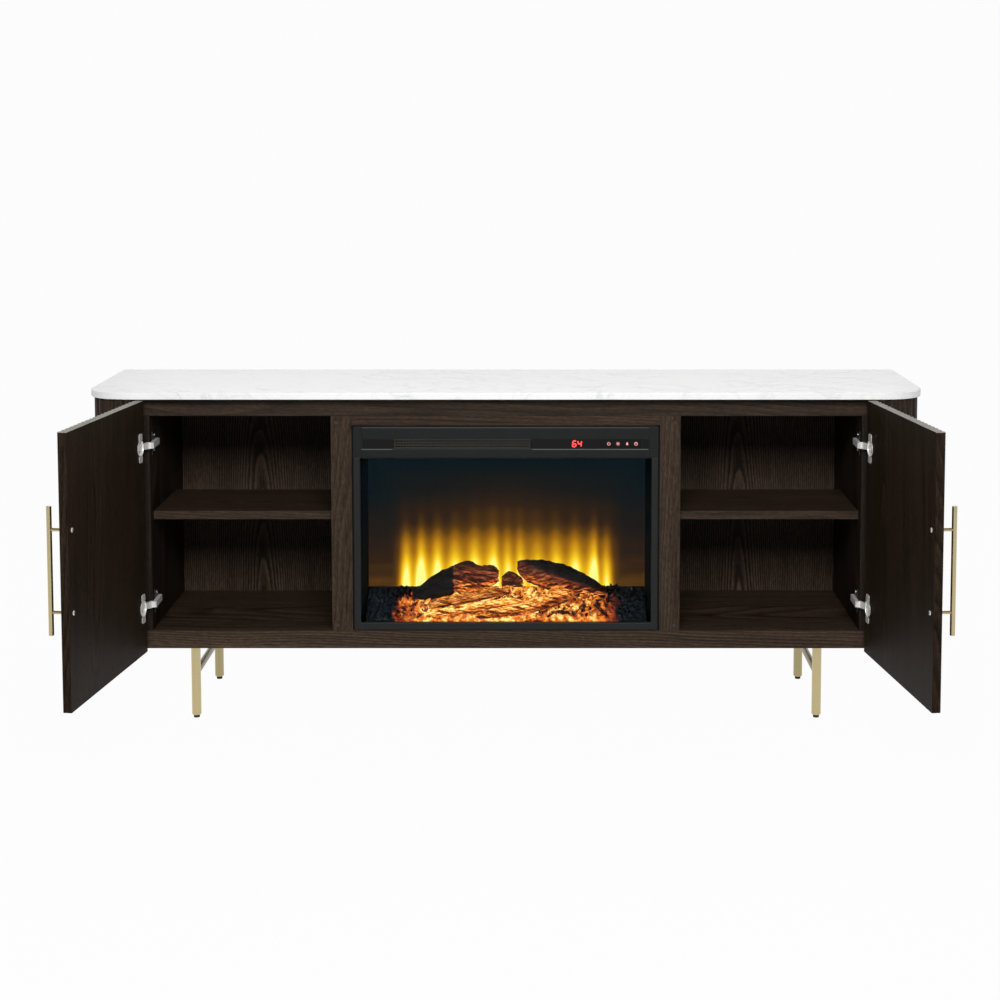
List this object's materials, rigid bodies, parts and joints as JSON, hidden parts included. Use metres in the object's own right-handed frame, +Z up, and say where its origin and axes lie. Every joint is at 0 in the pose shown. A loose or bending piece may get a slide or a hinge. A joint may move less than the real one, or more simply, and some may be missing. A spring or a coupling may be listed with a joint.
{
  "type": "sideboard with electric fireplace",
  "caption": "Low sideboard with a stone-look top, reeded round ends and doors, brass tube base and a built-in electric fireplace.",
  "frame": {"origin": "middle of the footprint with the doors standing open as at rest, on the floor under the glides", "axes": "+X along the front to the right, +Y to the back, +Z up"},
  "size_m": [1.778, 0.83, 0.718],
  "materials": {
    "stone_top": "white marble look with faint grey veins, honed gloss",
    "espresso_oak": "dark espresso stained oak veneer, satin",
    "brass": "satin brass",
    "nickel": "nickel plated",
    "zinc_screw": "zinc plated",
    "black_rubber": "matte",
    "charcoal_metal": "dark grey satin powder coat",
    "black_gloss": "gloss black",
    "clear_glass": "clear tempered",
    "ember_resin": "moulded translucent resin, lit from below",
    "log_resin": "moulded resin painted as charred bark",
    "screen_plastic": "smoked diffuser",
    "black_panel": "matte black",
    "lamp_board": "lamp strip",
    "bright_foil": "mirror finish",
    "motor_steel": "plated can",
    "plated_steel": "galvanised sheet",
    "heater_ceramic": "matte ceramic with fins",
    "circuit": "circuit board"
  },
  "bodies": {
    "cabinet": {"blower_housing": "plated_steel", "bottom_panel": "espresso_oak", "bottom_rail": "espresso_oak", "cabinet_top_panel": "espresso_oak", "control_board": "circuit", "door_stops": "black_rubber", "drive_motors": "motor_steel", "ember_bed": "ember_resin", "ember_lights": "lamp_board", "firebox_liners": "black_panel", "fireplace_header_rail": "espresso_oak", "flame_screen": "screen_plastic", "front_left_leg": "brass", "front_right_leg": "brass", "heating_element": "heater_ceramic", "hinge_arms": "nickel", "hinge_plates": "nickel", "insert_back_plate": "black_panel", "insert_case": "black_panel", "insert_fascia": "charcoal_metal", "insert_glass": "clear_glass", "insert_grille": "charcoal_metal", "insert_trim": "charcoal_metal", "led_display": "black_gloss", "left_back_panel": "espresso_oak", "left_inner_stile": "espresso_oak", "left_outer_stile": "espresso_oak", "left_partition": "espresso_oak", "left_reeded_end": "espresso_oak", "left_shelf": "espresso_oak", "left_side_panel": "espresso_oak", "leg_glides": "black_rubber", "leg_plates": "brass", "log_set": "log_resin", "power_inlet": "black_rubber", "rear_left_leg": "brass", "rear_right_leg": "brass", "right_back_panel": "espresso_oak", "right_inner_stile": "espresso_oak", "right_outer_stile": "espresso_oak", "right_partition": "espresso_oak", "right_reeded_end": "espresso_oak", "right_shelf": "espresso_oak", "right_side_panel": "espresso_oak", "shelf_pins": "nickel", "stretchers": "brass", "top_rail": "espresso_oak", "top_slab": "stone_top", "touch_panel": "black_gloss", "wood_screws": "zinc_screw"},
    "left_door": {"left_door_panel": "espresso_oak", "left_handle": "brass", "left_handle_screws": "zinc_screw", "left_hinge_cups": "nickel"},
    "right_door": {"right_door_panel": "espresso_oak", "right_handle": "brass", "right_handle_screws": "zinc_screw", "right_hinge_cups": "nickel"},
    "spindle": {"flame_spindle": "bright_foil"},
    "fan": {"blower_rotor": "bright_foil"}
  },
  "joints": [
    {"name": "left_door_hinge", "type": "hinge", "parent": "cabinet", "child": "left_door", "pos_m": [-0.78285, 0.02204, 0.43], "axis": [0, 0, -1], "range_deg": [-97.16, 12.84]},
    {"name": "right_door_hinge", "type": "hinge", "parent": "cabinet", "child": "right_door", "pos_m": [0.78285, 0.02204, 0.43], "axis": [0, 0, 1], "range_deg": [-97.16, 12.84]},
    {"name": "flame_spindle_spin", "type": "hinge", "parent": "cabinet", "child": "spindle", "pos_m": [0, 0.17104, 0.264], "axis": [1, 0, 0], "continuous": true},
    {"name": "blower_spin", "type": "hinge", "parent": "cabinet", "child": "fan", "pos_m": [-0.09275, 0.11804, 0.6039], "axis": [1, 0, 0], "continuous": true}
  ]
}
